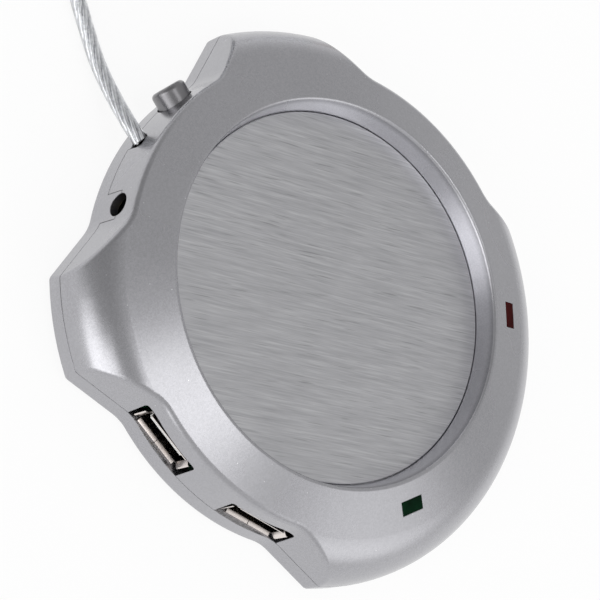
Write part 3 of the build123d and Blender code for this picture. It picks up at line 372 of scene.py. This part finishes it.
FINISHES = {
    "case_paint": silver_paint(),
    "plate_metal": brushed_plate(),
    "button_paint": satin_button(),
    "lamp_green": tinted_lamp("lamp_green", (0.001, 0.008, 0.003), (0.002, 0.022, 0.008)),
    "lamp_red": tinted_lamp("lamp_red", (0.022, 0.0005, 0.0005), (0.055, 0.001, 0.001)),
    "receptacle_steel": receptacle_sheet(),
    "receptacle_white": moulded("receptacle_white", (0.8, 0.8, 0.78), 0.35),
    "contact_gold": sheet_metal("contact_gold", (0.85, 0.62, 0.25), 0.22),
    "jack_black": moulded("jack_black", (0.012, 0.012, 0.013), 0.32),
    "screw_steel": sheet_metal("screw_steel", (0.5, 0.51, 0.53), 0.35),
    "board_green": green_board(),
    "chip_black": moulded("chip_black", (0.015, 0.015, 0.016), 0.5),
    "can_metal": sheet_metal("can_metal", (0.7, 0.7, 0.71), 0.3),
    "heater_film": amber_film(),
    "pad_felt": pressed_felt(),
    "wire_black": moulded("wire_black", (0.02, 0.02, 0.02), 0.45),
    "strap_plastic": moulded("strap_plastic", (0.72, 0.72, 0.68), 0.45),
    "feet_rubber": moulded("feet_rubber", (0.018, 0.018, 0.018), 0.75, 0.08),
    "cord_clear": clear_plastic("cord_clear", (0.97, 0.98, 0.99)),
    "plug_clear": clear_plastic("plug_clear", (0.93, 0.95, 0.97), 0.1),
}
for piece in frame["record"]["subparts"]:
    mesh = frame["nodes"][piece["node"]].data
    mesh.materials.clear()
    mesh.materials.append(FINISHES[piece["material_slot"]])


# ---------------------------------------------------------------- cord
CORD_D = 3.5 * MM
COIL_CENTRE = (54.38, 91.37)
COIL_START = 136.0  # degrees round the coil, which winds clockwise
COIL_WOUND = 1924.0
COIL_STEP = 15.0
COIL_EASE = 60.0
COIL_SPARE = 0.75
# where the cord moves to its next place: wound degrees at both ends, then its radius and height
COIL_PLACES = ((0, 1, 22.0, 1.75), (316, 350, 18.5, 1.75), (675, 700, 16.75, 4.78), (1015, 1040, 20.25, 4.78),
               (1352, 1380, 23.75, 4.78), (1690, 1720, 22.0, 7.81), (1830, 1924, 21.0, 7.7))
TABLE_RUN = ((-2.0, 54.2, 8.6), (-0.5, 57.6, 7.8), (4.1, 63.5, 4.4), (9.0, 70.2, 1.95), (13.7, 76.7, 1.75),
             (19.0, 83.8, 1.75), (25.2, 91.9, 1.75), (31.8, 99.7, 1.75), (38.6, 106.7, 1.75))
# the run to the plug: along it, aside from the coil and up
PLUG_RUN = ((7.5, 0.2, 7.75), (15.5, 0.7, 7.3), (22.5, 1.4, 5.2), (29.0, 2.2, 4.1), (35.5, 3.0, 4.1))
PLUG_RUN_FROM = (74.92, 95.74)
PLUG_RUN_ALONG = (0.2079, -0.9781)


def eased(value):
    value = min(1.0, max(0.0, value))
    return value * value * (3 - 2 * value)


def coil_points():
    """The turns of the coil, wound in three layers from the table up."""
    points = []
    for step in range(1, math.ceil(COIL_WOUND / COIL_STEP)):
        wound = step * COIL_WOUND / math.ceil(COIL_WOUND / COIL_STEP)
        radius, height = COIL_PLACES[0][2:]
        for start, end, next_radius, next_height in COIL_PLACES[1:]:
            part = eased((wound - start) / (end - start))
            radius += (next_radius - radius) * part
            height += (next_height - height) * part
        turned = wound % 360
        radius += COIL_SPARE * min(eased(turned / COIL_EASE), eased((360 - turned) / COIL_EASE))
        angle = math.radians(COIL_START - wound)
        across, along = radius * math.cos(angle), radius * math.sin(angle)
        points.append((COIL_CENTRE[0] + across, COIL_CENTRE[1] + along, height))
    return points


def plug_points():
    """From the top of the coil down to the neck of the plug."""
    (x, y), (along_x, along_y) = PLUG_RUN_FROM, PLUG_RUN_ALONG
    run = [(x, y, 7.7)]
    for along, aside, up in PLUG_RUN:
        run.append((x + along * along_x - aside * along_y, y + along * along_y + aside * along_x, up))
    return run


def nurbs(name, points, radius, finish_of, sides=5):
    """A round cord on one smooth line."""
    curve = bpy.data.curves.new(name, "CURVE")
    curve.dimensions = "3D"
    spline = curve.splines.new("NURBS")
    spline.points.add(len(points) - 1)
    for control, point in zip(spline.points, points):
        control.co = (*point, 1)
    spline.order_u = 3
    spline.use_endpoint_u = True
    spline.resolution_u = 6
    curve.bevel_depth = radius
    curve.bevel_resolution = sides
    curve.use_fill_caps = True
    curve.materials.append(finish_of)
    cord = bpy.data.objects.new(name, curve)
    scene.collection.objects.link(cord)
    return cord


def line_of(cord):
    """Points along the cord's own smooth line, in order."""
    bare = cord.copy()
    bare.data = cord.data.copy()
    bare.data.bevel_depth = 0
    mesh = bpy.data.meshes.new_from_object(bare)
    points = [vertex.co.copy() for vertex in mesh.vertices]
    bpy.data.objects.remove(bare)
    return points


STRANDS = 5
STRAND_PITCH = 23 * MM
STRAND_R = 0.52 * MM
STRAND_OUT = 0.68 * MM


def twisted_core(name, line, finish_of):
    """Bundle of plated strands twisted round the middle of the cord."""
    curve = bpy.data.curves.new(name, "CURVE")
    curve.dimensions = "3D"
    curve.bevel_depth = STRAND_R
    curve.bevel_resolution = 1
    curve.use_fill_caps = True
    side = Vector((1, 0, 0))
    frames, run = [], 0.0
    for index, point in enumerate(line):
        before, after = line[max(0, index - 1)], line[min(len(line) - 1, index + 1)]
        along = (after - before).normalized()
        side = (side - along * side.dot(along)).normalized()
        run += (point - before).length
        frames.append((point, side.copy(), along.cross(side), run))
    for strand in range(STRANDS):
        spline = curve.splines.new("POLY")
        spline.points.add(len(frames) - 1)
        for control, (point, first, second, reach) in zip(spline.points, frames):
            angle = math.tau * (strand / STRANDS + reach / STRAND_PITCH)
            place_of = point + (first * math.cos(angle) + second * math.sin(angle)) * STRAND_OUT
            control.co = (*place_of, 1)
        spline.use_smooth = True
    curve.materials.append(finish_of)
    core = bpy.data.objects.new(name, curve)
    scene.collection.objects.link(core)
    return core


def strand_foil():
    """Bright plated strands with fine lines along them."""
    mat = finish("cord_strands", (0.78, 0.79, 0.81), metal=1.0, rough=0.24)
    glitter = noise(mat, place(mat), 1100, 3.0)
    tint(mat, (0.5, 0.51, 0.53), (0.95, 0.95, 0.97), glitter)
    join(mat, (bump(mat, glitter, 0.05 * MM), shader_of(mat).inputs["Normal"]))
    return mat


route = [Vector(p) * MM for p in (*TABLE_RUN, *coil_points(), *plug_points())]
jacket = nurbs("cord_jacket", route, CORD_D / 2, FINISHES["cord_clear"])
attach(jacket, "case")
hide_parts("cord", "cord_coil", "cord_tail")
centre_line = line_of(jacket)
core = twisted_core("cord_core", centre_line, strand_foil())
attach(core, "case")


# ---------------------------------------------------------------- table and light
TABLE_HALF = 3.0
TABLE_GLOW = 1.04
TABLE_GLOW_SHARE = 0.86


def table_top():
    """Plain white table that shows white and keeps the soft shadow of what stands on it."""
    mesh = bpy.data.meshes.new("table_top")
    work = bmesh.new()
    bmesh.ops.create_grid(work, x_segments=1, y_segments=1, size=TABLE_HALF)
    work.to_mesh(mesh)
    work.free()
    table = bpy.data.objects.new("table_top", mesh)
    scene.collection.objects.link(table)
    mat = finish("table_white", (0.8, 0.8, 0.8), rough=0.7)
    shader = shader_of(mat)
    glow = add(mat, "Emission", {"Color": (1, 1, 1, 1), "Strength": TABLE_GLOW})
    lit = add(mat, "MixShader", {"Fac": TABLE_GLOW_SHARE})
    seen = add(mat, "MixShader")
    path = add(mat, "LightPath")
    out = mat.node_tree.nodes["Material Output"]
    mirrored = math_of(mat, "MAXIMUM", path.outputs["Is Glossy Ray"], path.outputs["Is Transmission Ray"])
    direct = math_of(mat, "MAXIMUM", path.outputs["Is Camera Ray"], mirrored)
    join(mat, (shader.outputs[0], lit.inputs[1]), (glow.outputs[0], lit.inputs[2]), (direct, seen.inputs[0]),
         (shader.outputs[0], seen.inputs[1]), (lit.outputs[0], seen.inputs[2]),
         (seen.outputs[0], out.inputs[0]))
    mesh.materials.append(mat)


# soft panels in the room: azimuth, elevation, half widths of full light and of its edge, all in degrees, and
# the light added
PANELS = ((148, 12, 7, 30, 1.9), (-95, 33, 8, 28, 0.8), (-110, 80, 6, 16, 1.8), (-140, -5, 35, 85, 0.17),
          (92, 35, 15, 48, -0.22))


ROOM_LOW, ROOM_HIGH = 0.8, 0.63  # light at the horizon and from ROOM_RISE up
ROOM_RISE = 0.35


def room_light():
    """Pale grey room with soft panels of light."""
    world = bpy.data.worlds.new("pale_room")
    scene.world = world
    world.use_nodes = True
    background = world.node_tree.nodes["Background"]
    coords = add(world, "TexCoord")
    parts = add(world, "SeparateXYZ")
    join(world, (coords.outputs["Generated"], parts.inputs[0]))
    light = spread(world, parts.outputs["Z"], 0.0, ROOM_RISE, ROOM_LOW, ROOM_HIGH, smooth=True)
    for azimuth, elevation, inner, outer, gain in PANELS:
        a, e = math.radians(azimuth), math.radians(elevation)
        towards = (math.cos(a) * math.cos(e), math.sin(a) * math.cos(e), math.sin(e))
        dot = add(world, "VectorMath", operation="DOT_PRODUCT")
        dot.inputs[1].default_value = towards
        join(world, (coords.outputs["Generated"], dot.inputs[0]))
        edge, full = math.cos(math.radians(outer)), math.cos(math.radians(inner))
        level = spread(world, dot.outputs["Value"], edge, full, 0.0, gain, smooth=True)
        light = math_of(world, "ADD", light, level)
    path = add(world, "LightPath")
    strength = add(world, "Mix", data_type="FLOAT")
    strength.inputs["B"].default_value = 1.0
    join(world, (path.outputs["Is Camera Ray"], strength.inputs["Factor"]), (light, strength.inputs["A"]),
         (strength.outputs["Result"], background.inputs["Strength"]))
    background.inputs["Color"].default_value = (1, 1, 1, 1)


def soft_box(name, where, size, power):
    """Square lamp that faces the middle of the case."""
    data = bpy.data.lights.new(name, "AREA")
    data.size = size
    data.energy = power
    lamp = bpy.data.objects.new(name, data)
    scene.collection.objects.link(lamp)
    lamp.location = where
    lamp.rotation_mode = "QUATERNION"
    lamp.rotation_quaternion = Vector(where).to_track_quat("Z", "Y")


table_top()
room_light()
soft_box("by_the_port_side", (-0.95, 0.6, 0.9), 0.4, 0.6)
